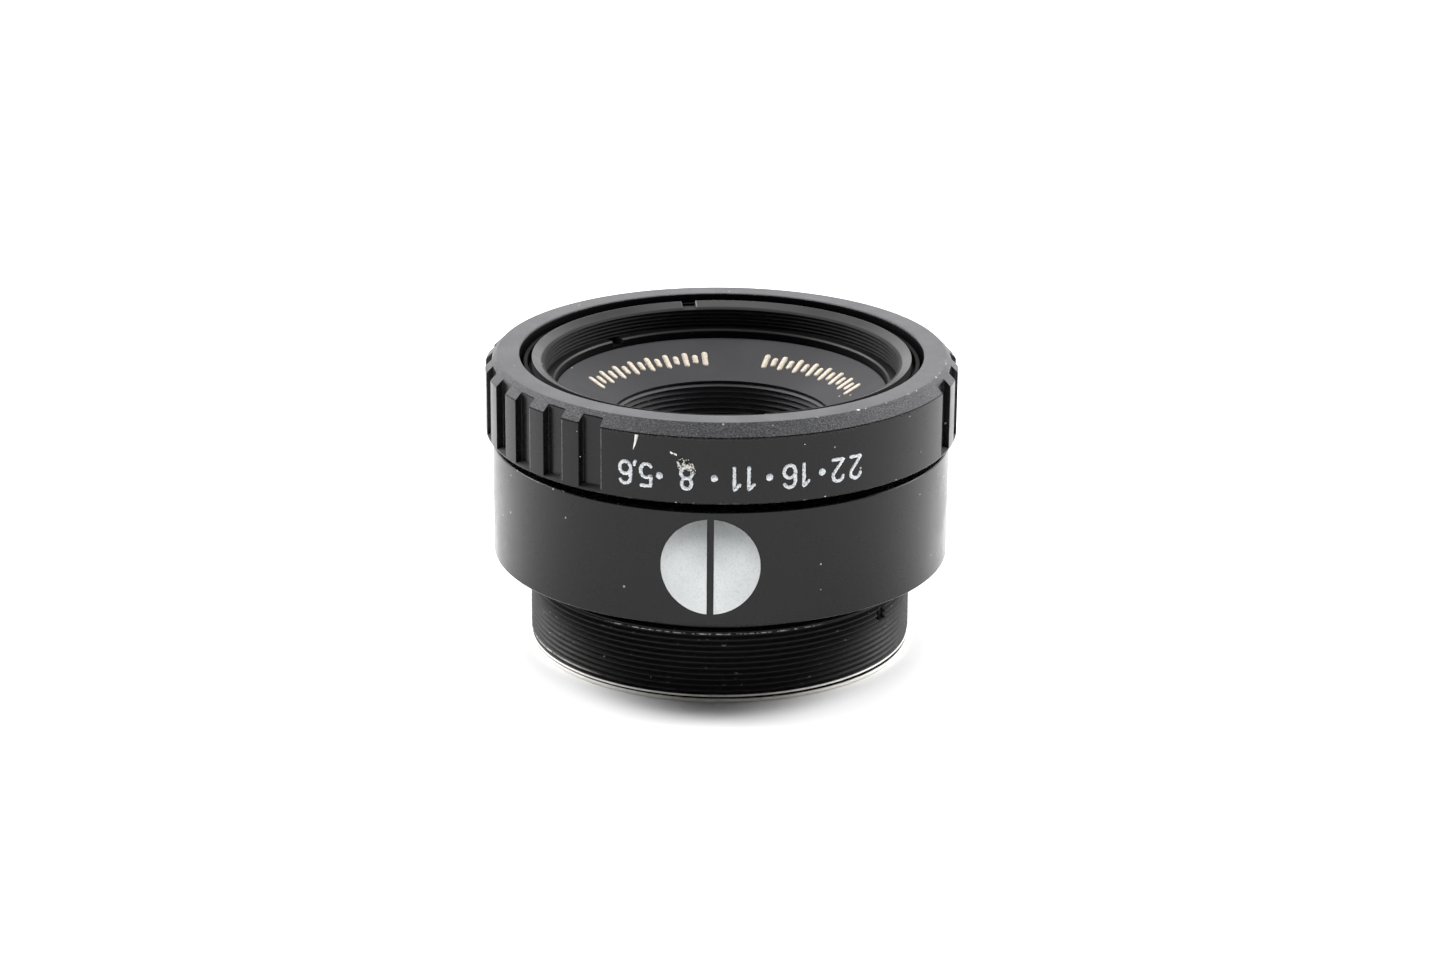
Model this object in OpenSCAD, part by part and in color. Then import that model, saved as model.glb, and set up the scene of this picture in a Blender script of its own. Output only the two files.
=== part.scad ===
// Enlarger lens: six elements in four groups, a click-stopped aperture ring and a
// five-bladed iris in a turned aluminium barrel.
// The lens stands on its rear thread with its front up. Z is the optical axis and
// z = 0 is the rear rim. Angles are counted about +Z from the index mark, at -Y.

/* [Barrel] */
// Outside diameter of the rear mounting thread
thread_d = 32.5; // [32.3:0.1:32.7]
// Pitch of the rear mounting thread
thread_pitch = 0.5; // [0.45:0.05:0.5]
// Height of the shoulder above the rear rim
shoulder_z = 8; // [7.9:0.1:8.1]
// Outside diameter of the barrel
barrel_d = 38.8; // [38.4:0.1:39.4]
// Height of the barrel's top edge
barrel_top_z = 17.85; // [17.3:0.05:18]

/* [Aperture ring] */
// Outside diameter of the aperture ring
ring_d = 40; // [39.6:0.1:41]
// Height of the ring's lower edge
ring_low_z = 18.7; // [18.4:0.1:19]
// Height of the ring's front face
ring_top_z = 25.35; // [25.2:0.05:26]
// Size of the chamfer round the front face
ring_chamfer = 1; // [0.4:0.1:1.2]
// Diameter of the opening in the ring's front face
ring_bore_d = 34.1; // [34:0.05:34.4]
// Depth of the grip flutes
flute_depth = 0.6; // [0.3:0.1:0.8]
// Width of a grip flute, in degrees
flute_angle = 6; // [4:0.5:7]

/* [Front tube] */
// Outside diameter of the tube inside the aperture ring
tube_d = 32.1; // [32:0.05:32.15]
// Height of the tube's front edge
tube_top_z = 25.05; // [24.9:0.05:25.2]
// Major diameter of the filter thread
filter_d = 30.5; // [30.3:0.1:30.6]

/* [Iris] */
// Turn of the ring from rest to the largest stop, in degrees
turn_to_open = 19.125; // [19.125]
// Turn of the ring from rest to the smallest stop, in degrees
turn_to_closed = 31.875; // [31.875]
// Turn of a blade for each degree of the ring
blade_ratio = 0.5; // [0.48:0.01:0.52]
// Radius of the aperture with the iris fully open
open_r = 7.3; // [7.1:0.1:7.4]

/* [Optics] */
// Radius of the glass in the outer, cemented pairs
outer_glass_r = 8.8; // [8.7:0.05:8.8]
// Radius of the glass in the inner lenses
inner_glass_r = 8; // [7.9:0.05:8]

/* [Hidden] */
$fn = 128;

black = "#1b1b1d";
dark_grey = "#333338";
steel = "#9a9a9e";
brass = "#b08d4a";
glass = "#7fa4b8";

play = 0.02;            // gap between faces that are screwed or seated together
running = 0.07;         // radial gap of a running fit
cut = 1;                // how far a cutting shape passes the surface that it cuts

// Barrel
thread_r = thread_d / 2;
thread_depth = 0.28;
crest_w = 0.12;         // flat on each thread crest
root_w = 0.08;          // flat in each thread groove
first_groove_z = 0.32;
groove_count = 12;
relief_r = thread_r - 0.5;
relief_z = first_groove_z + groove_count * thread_pitch;
shoulder_in_r = thread_r + 0.1; // inner edge of the shoulder, clear of the thread
barrel_r = barrel_d / 2;
barrel_bore_r = 14.6;
barrel_edge = 0.08;     // broken edge on the barrel's rims
pocket_r = 17.6;        // inside of the barrel's outer wall
pocket_z = 9.6;         // floor of the pocket that the ring's skirt turns in

// Aperture ring
ring_r = ring_d / 2;
ring_bore_r = ring_bore_d / 2;
ring_edge = 0.12;
tube_r = tube_d / 2;
skirt_in_r = tube_r + running;
skirt_out_r = 17.45;
skirt_z = 9.75;         // lower end of the skirt
ledge_z = 20.2;         // ledge that the wave washer presses on
flute_step = 360 / 32;
flute_total = 24;
first_flute = -29.8;    // first flute clockwise of the aperture scale
flute_slope = 0.12;     // how much a flute's wall leans out, each side
flute_lip = 0.3;        // plain edge left below the flutes

// Parts that hold the ring
washer_z = 20.4;
washer_wave = 0.12;
washer_t = 0.12;
washer_in_r = 16.2;
washer_out_r = 16.9;
nut_z = 20.62;
nut_h = 4.1;
nut_out_r = 16.75;
spanner_w = 1.2;        // width of a spanner notch
spanner_depth = 0.5;

// Front tube
filter_r = filter_d / 2;
filter_crest_r = filter_r - 0.27;
filter_pitch = 0.5;
filter_low_z = 23;
filter_grooves = 3;
bevel_in_r = 15.17;
bevel_drop = 0.44;
cell_ledge_z = 17.15;
iris_bore_r = 13.9;
iris_floor_z = 8.55;
tube_low_z = 7.8;
rear_spigot_r = 8.9;
tube_notch_a = -166.9;

// Iris stack
base_t = 0.5;
blade_t = 0.1;
blade_step = 0.15;
first_blade_z = 9.12;
cam_low_z = 9.95;
cam_t = 1;
cover_low_z = 11.03;
cover_t = 0.37;
blade_total = 5;
pivot_orbit = 12;       // radius of the circle of blade pivots
pivot_r = 0.35;
head_r = 1;             // metal round the pivot
cam_pin_orbit = 12.5;   // radius of the circle of cam pins, iris fully open
cam_pin_lead = 25;      // cam pin ahead of its pivot, in degrees
cam_pin_r = 0.3;
hole_gap = 0.05;        // radial gap of a pin in its hole or slot
blade_out_r = 11.55;
blade_span = 140;       // angle from the pivot to the blade's rounded tip
first_pivot = 40.15;
closed_turn = blade_ratio * (turn_to_open + turn_to_closed);
rest_turn = blade_ratio * turn_to_open;
slot_steps = 16;

// Drive pin
drive_z = cam_low_z + cam_t / 2;
drive_a = 180;
drive_r = 0.5;
drive_stem_r = 0.35;
drive_from = 12;
drive_to = 17.35;
slot_spare = 0.3;       // degrees of spare slot beyond the pin at each stop

// Click stop
click_step = 6.375;
click_a = 90;
click_orbit = 16.8;
click_hole_r = 0.5;
click_hole_z = 8.3;
ball_r = 0.45;
ball_z = skirt_z - 0.02 - ball_r;
ball_travel = 0.15;
dimple_r = ball_r + 0.03;
spring_wire_r = 0.05;
spring_r = 0.36;
spring_turns = 3;

// Optics: heights are counted from the iris plane, outwards
stop_z = 9.45;
inner_rim = 1.95;
inner_back = 3.2;
inner_front = 4.6;
flint_rim = 3.91;
flint_back = 4.9;
cement = 5.6;
crown_front = 7.7;
inner_back_r = 22;
inner_front_r = 17;
flint_back_r = 32;
cement_r = 70;
crown_front_r = 32;
spacer_in_r = 7.5;
spacer_low = 2.88;
spacer_high = 3.88;
lens_ring_low = 6.65;
lens_ring_h = 0.6;
lens_ring_in_r = 8.3;
lens_ring_out_r = 9.18;
cell_foot = 1.6;        // inner end of each cell
cell_mouth_r = 7.4;
cell_ring_bore_r = 9.2;
front_cell_r = 10.6;
cell_flange_z = 17.25;
cell_flange_t = 0.95;
cell_flange_r = filter_r - 0.05;
baffle_pitch = 0.49;
baffle_low_z = 16.8;
baffle_top_z = 19.05;
baffle_root_r = 9.4;
baffle_neck_r = 10.2;
rear_cell_r = 10.2;
rear_cell_z = 1.2;
rear_flange_r = 14.5;
rear_flange_z = 3.6;
rear_flange_top = 6;

// Name ring and front retaining ring
name_in_r = 9.39;
name_in_z = 19.68;
name_out_r = 14.03;
name_out_z = 22.18;
name_rim_z = 22.08;
retainer_z = 22.1;
retainer_top_z = 22.9;
retainer_in_r = 14.1;
retainer_out_r = filter_r - play;
retainer_notch_a = -140.5;

// Grub screw in the rear thread
grub_a = 59.2;
grub_z = 5.1;
grub_hole_r = 0.65;

// Point on a circle, at an angle from the index mark
function polar(r, a) = [r * sin(a), -r * cos(a)];
// A point turned about a centre
function turned_about(p, c, a) = [
    c[0] + (p[0] - c[0]) * cos(a) - (p[1] - c[1]) * sin(a),
    c[1] + (p[0] - c[0]) * sin(a) + (p[1] - c[1]) * cos(a)
];
// Unit normal of the line from one point to another
function normal_of(p, q) = [p[1] - q[1], q[0] - p[0]] / norm(q - p);

module turned(profile) {
    rotate_extrude() polygon(profile);
}

module tube(in_r, out_r, z, h) {
    translate([0, 0, z]) difference() {
        cylinder(r = out_r, h = h);
        translate([0, 0, -cut]) cylinder(r = in_r, h = h + 2 * cut);
    }
}

// Two opposite slots across a rim, for a spanner
module spanner_notches(a, in_r, out_r, w, z) {
    for (side = [0, 180])
        rotate(a + side) translate([-w / 2, -out_r, z]) cube([w, out_r - in_r, 2]);
}

// Space inside a sphere whose surface crosses the axis at z; with side -1 the
// centre lies below that point, and with side 1 above it
module dome(z, r, side) {
    translate([0, 0, z + side * r]) sphere(r = r, $fn = 240);
}

// A pin along a radius, from one distance to another
module radial_pin(r, from, to, a, z) {
    rotate(a) translate([0, -from, z]) rotate([90, 0, 0]) cylinder(r = r, h = to - from);
}

// Barrel

function groove(r, z, depth, w) = [
    [r, z - w / 2], [r - depth, z - root_w / 2], [r - depth, z + root_w / 2], [r, z + w / 2]
];
thread_profile = [
    for (i = [0 : groove_count - 1])
        each groove(thread_r, first_groove_z + i * thread_pitch, thread_depth,
                    thread_pitch - crest_w)
];

module main_barrel() {
    color(black) difference() {
        turned(concat(
            [[barrel_bore_r, 0], [thread_r - barrel_edge, 0], [thread_r, barrel_edge]],
            thread_profile,
            [
                [thread_r, relief_z - crest_w], [relief_r, relief_z + crest_w],
                [relief_r, shoulder_z - shoulder_in_r + relief_r], [shoulder_in_r, shoulder_z],
                [barrel_r - barrel_edge, shoulder_z],
                [barrel_r, shoulder_z + barrel_edge], [barrel_r, barrel_top_z - barrel_edge],
                [barrel_r - barrel_edge, barrel_top_z], [pocket_r, barrel_top_z],
                [pocket_r, pocket_z], [barrel_bore_r, pocket_z]
            ]
        ));
        radial_pin(grub_hole_r, barrel_bore_r - cut, thread_r + cut, grub_a, grub_z);
        translate(polar(click_orbit, click_a)) translate([0, 0, click_hole_z])
            cylinder(r = click_hole_r, h = cut + pocket_z - click_hole_z);
    }
}

module grub_screw() {
    color(steel) difference() {
        radial_pin(grub_hole_r - play, rear_flange_r + play, thread_r - 0.4, grub_a, grub_z);
        rotate(grub_a) translate([-0.1, -thread_r, grub_z - grub_hole_r])
            cube([0.2, 0.8, 2 * grub_hole_r]);
    }
}

module click_spring() {
    height = ball_z - ball_r - click_hole_z - 2 * spring_wire_r;
    steps = 20 * spring_turns;
    sides = 8;
    centre = polar(click_orbit, click_a);
    points = [
        for (i = [0 : steps]) for (j = [0 : sides - 1])
            let (
                a = 360 * spring_turns * i / steps,
                b = 360 * j / sides,
                r = spring_r + spring_wire_r * cos(b)
            )
            [
                centre[0] + r * cos(a),
                centre[1] + r * sin(a),
                click_hole_z + spring_wire_r * (1 + sin(b)) + height * i / steps
            ]
    ];
    walls = [
        for (i = [0 : steps - 1]) for (j = [0 : sides - 1])
            let (a = i * sides + j, b = i * sides + (j + 1) % sides)
            each [[a, a + sides, b], [b, a + sides, b + sides]]
    ];
    first_end = [for (j = [0 : sides - 1]) j];
    last_end = [for (j = [0 : sides - 1]) steps * sides + sides - 1 - j];
    color(steel) polyhedron(points, concat(walls, [first_end, last_end]));
}

module click_ball() {
    color(steel) translate(polar(click_orbit, click_a)) translate([0, 0, ball_z])
        sphere(r = ball_r);
}

// Front tube, which holds the iris and both cells

filter_profile = [
    for (i = [filter_grooves - 1 : -1 : 0])
        let (z = filter_low_z + (i + 0.5) * filter_pitch)
        each [
            [filter_crest_r, z + filter_pitch / 2 - crest_w / 2], [filter_r, z + root_w / 2],
            [filter_r, z - root_w / 2], [filter_crest_r, z - filter_pitch / 2 + crest_w / 2]
        ]
];

module lens_tube() {
    color(black) difference() {
        turned(concat(
            [
                [rear_spigot_r + play, tube_low_z], [barrel_bore_r - play, tube_low_z],
                [barrel_bore_r - play, pocket_z], [tube_r, pocket_z], [tube_r, tube_top_z],
                [bevel_in_r, tube_top_z - bevel_drop]
            ],
            filter_profile,
            [
                [filter_r, filter_low_z], [filter_r, cell_ledge_z],
                [iris_bore_r, cell_ledge_z], [iris_bore_r, iris_floor_z],
                [rear_spigot_r + play, iris_floor_z]
            ]
        ));
        drive_slot();
        spanner_notches(tube_notch_a, 14, 17, spanner_w, tube_top_z - spanner_depth);
    }
}

// Slot round the tube that the drive pin travels in; its ends are the ring's stops
module drive_slot() {
    end_a = asin(drive_r / iris_bore_r) + slot_spare;
    from_a = drive_a - turn_to_closed - end_a;
    h = 2 * (drive_r + hole_gap);
    rotate(from_a - 90) rotate_extrude(angle = turn_to_closed + turn_to_open + 2 * end_a)
        translate([iris_bore_r - cut, drive_z - h / 2]) square([3.5, h]);
}

module ring_nut() {
    color(dark_grey) difference() {
        tube(tube_r + play, nut_out_r, nut_z, nut_h);
        spanner_notches(45, tube_r - 1, nut_out_r + 1, spanner_w, nut_z + nut_h - spanner_depth);
        spanner_notches(135, tube_r - 1, nut_out_r + 1, spanner_w, nut_z + nut_h - spanner_depth);
    }
}

module wave_washer() {
    steps = 96;
    waves = 4;
    corners = [
        [washer_in_r, -washer_t / 2], [washer_out_r, -washer_t / 2],
        [washer_out_r, washer_t / 2], [washer_in_r, washer_t / 2]
    ];
    points = [
        for (i = [0 : steps - 1]) for (c = corners)
            let (a = 360 * i / steps)
            [c[0] * cos(a), c[0] * sin(a), washer_z + c[1] + washer_wave * cos(waves * a)]
    ];
    faces = [
        for (i = [0 : steps - 1]) for (j = [0 : 3])
            let (
                next = (i + 1) % steps,
                a = 4 * i + j, b = 4 * i + (j + 1) % 4,
                c = 4 * next + j, d = 4 * next + (j + 1) % 4
            )
            each [[a, b, c], [b, d, c]]
    ];
    color(steel) polyhedron(points, faces);
}

// Aperture ring

module flute() {
    half_w = ring_r * sin(flute_angle / 2);
    floor_r = ring_r - flute_depth;
    lean = flute_slope * flute_depth;
    translate([0, 0, ring_low_z + flute_lip]) linear_extrude(ring_top_z - ring_low_z + cut)
        polygon([
            [-half_w + lean, -floor_r], [half_w - lean, -floor_r],
            [half_w + lean, -ring_r - flute_depth], [-half_w - lean, -ring_r - flute_depth]
        ]);
}

module aperture_ring() {
    color(black) difference() {
        turned([
            [skirt_in_r, skirt_z], [skirt_out_r, skirt_z], [skirt_out_r, ring_low_z],
            [ring_r - ring_edge, ring_low_z], [ring_r, ring_low_z + ring_edge],
            [ring_r, ring_top_z - ring_chamfer], [ring_r - ring_chamfer, ring_top_z],
            [ring_bore_r, ring_top_z], [ring_bore_r, ledge_z], [skirt_in_r, ledge_z]
        ]);
        for (i = [0 : flute_total - 1]) rotate(first_flute - i * flute_step) flute();
        for (k = [-5 : 3])
            translate(polar(click_orbit, click_a - k * click_step))
                translate([0, 0, ball_z + ball_travel]) sphere(r = dimple_r);
        radial_pin(drive_r + play, tube_r - cut, pocket_r + cut, drive_a, drive_z);
        rotate(drive_a) translate([-drive_r - play, -pocket_r - cut, skirt_z - cut])
            cube([2 * (drive_r + play), 4, drive_z - skirt_z + cut]);
    }
}

module drive_pin() {
    color(steel) {
        radial_pin(drive_stem_r, drive_from, iris_bore_r, drive_a, drive_z);
        radial_pin(drive_r, iris_bore_r, drive_to, drive_a, drive_z);
    }
}

// Iris

module iris_base() {
    color(dark_grey) difference() {
        tube(open_r, iris_bore_r - play, iris_floor_z, base_t);
        for (i = [0 : blade_total - 1])
            translate(polar(pivot_orbit, first_pivot + i * 360 / blade_total))
                translate([0, 0, iris_floor_z - cut])
                    cylinder(r = pivot_r + hole_gap, h = base_t + 2 * cut);
    }
}

module iris_cover() {
    color(dark_grey) tube(rear_spigot_r + 0.1, iris_bore_r - play, cover_low_z, cover_t);
}

// Path of a cam pin seen from the cam ring, as the ring turns from stop to stop
function cam_point(i) =
    let (
        ring_turn = turn_to_open - (turn_to_open + turn_to_closed) * i / slot_steps,
        blade_turn = closed_turn * i / slot_steps,
        pivot = polar(pivot_orbit, 0),
        pin = turned_about(polar(cam_pin_orbit, cam_pin_lead), pivot, blade_turn)
    )
    turned_about(pin, [0, 0], -ring_turn);

// Half circle of points round the end of a slot, from one side to the other
function slot_end(p, side, w) = [
    for (a = [22.5 : 22.5 : 157.5]) p + w * turned_about(side, [0, 0], -a)
];

module cam_slot() {
    w = cam_pin_r + hole_gap;
    path = [for (i = [-1 : slot_steps + 1]) cam_point(i)];
    sides = [for (i = [1 : slot_steps + 1]) normal_of(path[i - 1], path[i + 1])];
    left = [for (i = [0 : slot_steps]) path[i + 1] + w * sides[i]];
    right = [for (i = [slot_steps : -1 : 0]) path[i + 1] - w * sides[i]];
    translate([0, 0, cam_low_z - cut]) linear_extrude(cam_t + 2 * cut)
        polygon(concat(
            left, slot_end(path[slot_steps + 1], sides[slot_steps], w),
            right, slot_end(path[1], -sides[0], w)
        ));
}

module cam_ring() {
    color(brass) difference() {
        tube(rear_spigot_r - 0.3, iris_bore_r - running, cam_low_z, cam_t);
        for (i = [0 : blade_total - 1])
            rotate(first_pivot + i * 360 / blade_total) cam_slot();
        radial_pin(drive_stem_r + play, drive_from - play, iris_bore_r + cut, drive_a, drive_z);
    }
}

// Outline of a blade with its pivot at angle 0 and the iris fully open: the edge
// that closes the aperture, the round tip, the outer edge, and the head round the pins
function blade_outline() =
    let (
        tip_r = (blade_out_r - open_r) / 2,
        tip = polar(open_r + tip_r, blade_span),
        pivot = polar(pivot_orbit, 0),
        step = blade_span / 28,
        head_a = cam_pin_lead + 2
    )
    concat(
        [for (a = [0 : step : blade_span - step / 2]) polar(open_r, a)],
        [for (a = [180 : -22.5 : 22.5]) tip + polar(tip_r, blade_span + a)],
        [for (a = [blade_span : -2 * step : head_a + 2]) polar(blade_out_r, a)],
        [for (a = [head_a : -head_a / 4 : 0]) polar(pivot_orbit + head_r, a)],
        [for (a = [-22.5 : -22.5 : -135]) pivot + polar(head_r, a)]
    );

// A blade where it stands at rest, part of the way to closed
module iris_blade(i) {
    z = first_blade_z + i * blade_step;
    middle = z + blade_t / 2;
    pivot = polar(pivot_orbit, 0);
    color(steel) rotate(first_pivot + i * 360 / blade_total)
        translate(pivot) rotate(rest_turn) translate(-pivot) {
            translate([0, 0, z]) linear_extrude(blade_t) polygon(blade_outline());
            translate([pivot[0], pivot[1], iris_floor_z + play])
                cylinder(r = pivot_r, h = middle - iris_floor_z - play);
            translate(polar(cam_pin_orbit, cam_pin_lead)) translate([0, 0, middle])
                cylinder(r = cam_pin_r, h = cam_low_z + cam_t - 0.15 - middle);
        }
}

// Optics. The front group is drawn outwards from the iris plane, and the rear
// group is its mirror image.

module front_group() {
    translate([0, 0, stop_z]) children();
}

module rear_group() {
    translate([0, 0, stop_z]) mirror([0, 0, 1]) children();
}

module crown_glass() {
    color(glass) intersection() {
        translate([0, 0, cement]) cylinder(r = outer_glass_r, h = crown_front - cement);
        dome(crown_front, crown_front_r, -1);
        dome(cement, cement_r, 1);
    }
}

module flint_glass() {
    color(glass) difference() {
        translate([0, 0, flint_rim]) cylinder(r = outer_glass_r, h = crown_front - flint_rim - 1);
        dome(cement, cement_r, 1);
        dome(flint_back, flint_back_r, -1);
    }
}

module inner_glass() {
    color(glass) difference() {
        intersection() {
            translate([0, 0, inner_rim]) cylinder(r = inner_glass_r, h = inner_front - inner_rim);
            dome(inner_front, inner_front_r, -1);
        }
        dome(inner_back, inner_back_r, -1);
    }
}

module spacer_ring() {
    color(black) tube(spacer_in_r, inner_glass_r, spacer_low, spacer_high - spacer_low);
}

module lens_ring() {
    color(black) difference() {
        tube(lens_ring_in_r, lens_ring_out_r, lens_ring_low, lens_ring_h);
        spanner_notches(30, lens_ring_in_r - 1, lens_ring_out_r + 1, 1,
                        lens_ring_low + lens_ring_h - 0.3);
    }
}

// The bore of a cell, from its inner end outwards, as profile points
cell_bore = [
    [cell_ring_bore_r, lens_ring_low - 0.15], [outer_glass_r + play, lens_ring_low - 0.15],
    [outer_glass_r + play, flint_rim - play], [inner_glass_r + play, flint_rim - play],
    [inner_glass_r + play, inner_rim - play], [cell_mouth_r, inner_rim - play],
    [cell_mouth_r, cell_foot]
];

module front_cell() {
    ribs = [
        for (i = [4 : -1 : 0])
            let (z = baffle_low_z + (i + 0.3) * baffle_pitch - stop_z)
            each [[cell_ring_bore_r, z], [baffle_root_r, z - 0.1]]
    ];
    flange = cell_flange_z - stop_z;
    color(black) front_group() turned(concat(
        [
            [rear_spigot_r, cell_foot], [rear_spigot_r, cover_low_z + cover_t + play - stop_z],
            [front_cell_r, cover_low_z + cover_t + play - stop_z], [front_cell_r, flange],
            [cell_flange_r, flange], [cell_flange_r, flange + cell_flange_t],
            [baffle_neck_r, flange + cell_flange_t], [baffle_neck_r, baffle_top_z - stop_z],
            [baffle_root_r, baffle_top_z - stop_z]
        ],
        ribs,
        cell_bore
    ));
}

module rear_cell() {
    color(black) rear_group() turned(concat(
        [
            [rear_spigot_r, cell_foot], [rear_spigot_r, stop_z - tube_low_z + play],
            [rear_cell_r, stop_z - tube_low_z + play], [rear_cell_r, stop_z - rear_flange_top],
            [rear_flange_r, stop_z - rear_flange_top], [rear_flange_r, stop_z - rear_flange_z],
            [rear_cell_r, stop_z - rear_flange_z], [rear_cell_r, stop_z - rear_cell_z - 0.2],
            [rear_cell_r - 0.2, stop_z - rear_cell_z], [baffle_root_r, stop_z - rear_cell_z],
            [cell_ring_bore_r, stop_z - rear_cell_z - 0.3]
        ],
        cell_bore
    ));
}

module cell_shim() {
    color(brass) tube(iris_bore_r + 0.1, cell_flange_r, cell_ledge_z,
                      cell_flange_z - cell_ledge_z);
}

module name_ring() {
    skin = 0.58;
    skirt_r = cell_flange_r - 0.6;
    skirt_z0 = cell_flange_z + cell_flange_t;
    color(black) turned([
        [name_in_r, name_in_z], [name_out_r, name_out_z], [name_out_r, name_out_z - 0.28],
        [name_out_r + 0.2, name_out_z - 0.28], [name_out_r + 0.2, name_rim_z],
        [cell_flange_r, name_rim_z], [cell_flange_r, skirt_z0], [skirt_r, skirt_z0],
        [skirt_r, name_out_z - skin - 0.1], [name_in_r + 0.4, name_in_z - skin + 0.1],
        [name_in_r, name_in_z - skin + 0.1]
    ]);
}

module front_retainer() {
    color(black) difference() {
        turned([
            [retainer_in_r, retainer_z], [retainer_out_r, retainer_z],
            [retainer_out_r, retainer_top_z], [retainer_in_r + 0.35, retainer_top_z],
            [retainer_in_r, retainer_top_z - 0.4]
        ]);
        spanner_notches(retainer_notch_a, retainer_in_r - 1, retainer_out_r + 1, 1,
                        retainer_top_z - spanner_depth);
    }
}

main_barrel();
lens_tube();
ring_nut();
wave_washer();
iris_base();
iris_cover();
cell_shim();
front_cell();
front_group() crown_glass();  // front_crown_lens
front_group() flint_glass();  // front_flint_lens
front_group() inner_glass();  // front_inner_lens
front_group() spacer_ring();  // front_spacer
front_group() lens_ring();  // front_lens_ring
name_ring();
front_retainer();
rear_cell();
rear_group() inner_glass();  // rear_inner_lens
rear_group() flint_glass();  // rear_flint_lens
rear_group() crown_glass();  // rear_crown_lens
rear_group() spacer_ring();  // rear_spacer
rear_group() lens_ring();  // rear_lens_ring
grub_screw();
click_spring();
click_ball();
aperture_ring();
drive_pin();
cam_ring();
iris_blade(0);  // iris_blade_1
iris_blade(1);  // iris_blade_2
iris_blade(2);  // iris_blade_3
iris_blade(3);  // iris_blade_4
iris_blade(4);  // iris_blade_5
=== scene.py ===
"""Looks of the enlarger lens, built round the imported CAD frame.

Lengths in this file are millimetres until a mesh is made, and metres after that.
Angles are degrees counted about +Z from the index mark, which is at -Y.
"""

import math
import random

import bmesh
import bpy
from mathutils import Matrix, Vector
from mathutils import noise as mnoise


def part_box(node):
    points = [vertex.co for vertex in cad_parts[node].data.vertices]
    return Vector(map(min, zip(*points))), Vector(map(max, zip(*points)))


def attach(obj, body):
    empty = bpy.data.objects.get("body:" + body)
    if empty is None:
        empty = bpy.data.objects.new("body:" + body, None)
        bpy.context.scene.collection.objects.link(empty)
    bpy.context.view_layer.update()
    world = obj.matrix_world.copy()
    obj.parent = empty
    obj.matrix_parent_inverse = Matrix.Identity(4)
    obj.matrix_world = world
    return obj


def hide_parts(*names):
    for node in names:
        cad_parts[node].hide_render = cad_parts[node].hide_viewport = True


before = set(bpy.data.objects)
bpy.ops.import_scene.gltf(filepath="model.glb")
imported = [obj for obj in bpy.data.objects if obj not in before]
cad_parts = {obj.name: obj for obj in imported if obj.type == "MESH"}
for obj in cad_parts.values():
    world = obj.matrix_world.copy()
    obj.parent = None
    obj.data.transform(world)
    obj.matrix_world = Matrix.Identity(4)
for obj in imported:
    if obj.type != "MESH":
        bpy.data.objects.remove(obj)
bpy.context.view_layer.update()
MM = 0.001
random.seed(7)


def box_mm(node):
    low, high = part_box(node)
    return [c / MM for c in low], [c / MM for c in high]


# ---------------------------------------------------------------- sizes
RING_LOW, RING_HIGH = box_mm("aperture_ring")
BARREL_HIGH = box_mm("main_barrel")[1]
TUBE_HIGH = box_mm("lens_tube")[1]

PRINT_ROOM = 0.006         # how far a printed surface stays inside the CAD box
RING_R = RING_HIGH[0] - PRINT_ROOM
RING_TOP = RING_HIGH[2] - 0.001
RING_BORE = 17.05
BAND_LOW = 18.7
LIP_Z = 19.0               # the flutes stop just above the ring's lower edge
CHAMFER = 1.0
CHAMFER_Z = RING_TOP - CHAMFER
LEDGE_Z = 20.2             # the ledge that the wave washer presses on
SKIRT_Z = RING_LOW[2]
SKIRT_IN, SKIRT_OUT = 16.12, 17.45

BARREL_R = BARREL_HIGH[0] - PRINT_ROOM
BARREL_TOP = BARREL_HIGH[2]
BARREL_BORE = 14.6
POCKET_R, POCKET_Z = 17.6, 9.6    # the pocket that the ring's skirt turns in
SHOULDER = 8.0
THREAD_R = 16.25
THREAD_PITCH = 0.5
THREAD_DEPTH = 0.28
THREAD_LOW, THREAD_HIGH = 0.30, 6.25
GRUB_ANGLE, GRUB_Z, GRUB_R = 59.2, 5.1, 0.65
BALL_ANGLE, BALL_ORBIT, BALL_R, BALL_TRAVEL = 90.0, 16.8, 0.45, 0.15
CLICK_STEP = 6.375         # half a stop on the aperture scale

TUBE_R = 16.05
TUBE_TOP = TUBE_HIGH[2]
FILTER_R = 15.25
STOP_Z = 9.45              # the iris plane


# ---------------------------------------------------------------- mesh tools
def polar(r, a, z=0.0):
    a = math.radians(a)
    return (r * math.sin(a), -r * math.cos(a), z)


def soften(corners, default=0.03, steps=3, closed=True, hold=0.03):
    """Corners (x, y) or (x, y, radius), each one rounded, with holding points beside it."""
    n = len(corners)
    out = []
    for i in range(n):
        c = corners[i]
        p1 = Vector(c[:2])
        rad = c[2] if len(c) > 2 else default
        if not closed and i in (0, n - 1):
            out.append((p1.x, p1.y))
            continue
        p0 = Vector(corners[i - 1][:2])
        p2 = Vector(corners[(i + 1) % n][:2])
        u, v = p0 - p1, p2 - p1
        lu, lv = u.length, v.length
        u.normalize()
        v.normalize()
        half = math.acos(max(-1.0, min(1.0, u.dot(v)))) / 2
        t = min(rad / max(math.tan(half), 0.05), 0.46 * lu, 0.46 * lv)
        a, b = p1 + u * t, p1 + v * t
        ha, hb = min(hold, 0.3 * (0.5 * lu - t)), min(hold, 0.3 * (0.5 * lv - t))
        q = a + u * ha
        out.append((q.x, q.y))
        for k in range(steps + 1):
            s = k / steps
            q = a * (1 - s) ** 2 + p1 * (2 * s * (1 - s)) + b * s * s
            out.append((q.x, q.y))
        q = b + v * hb
        out.append((q.x, q.y))
    return out


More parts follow.
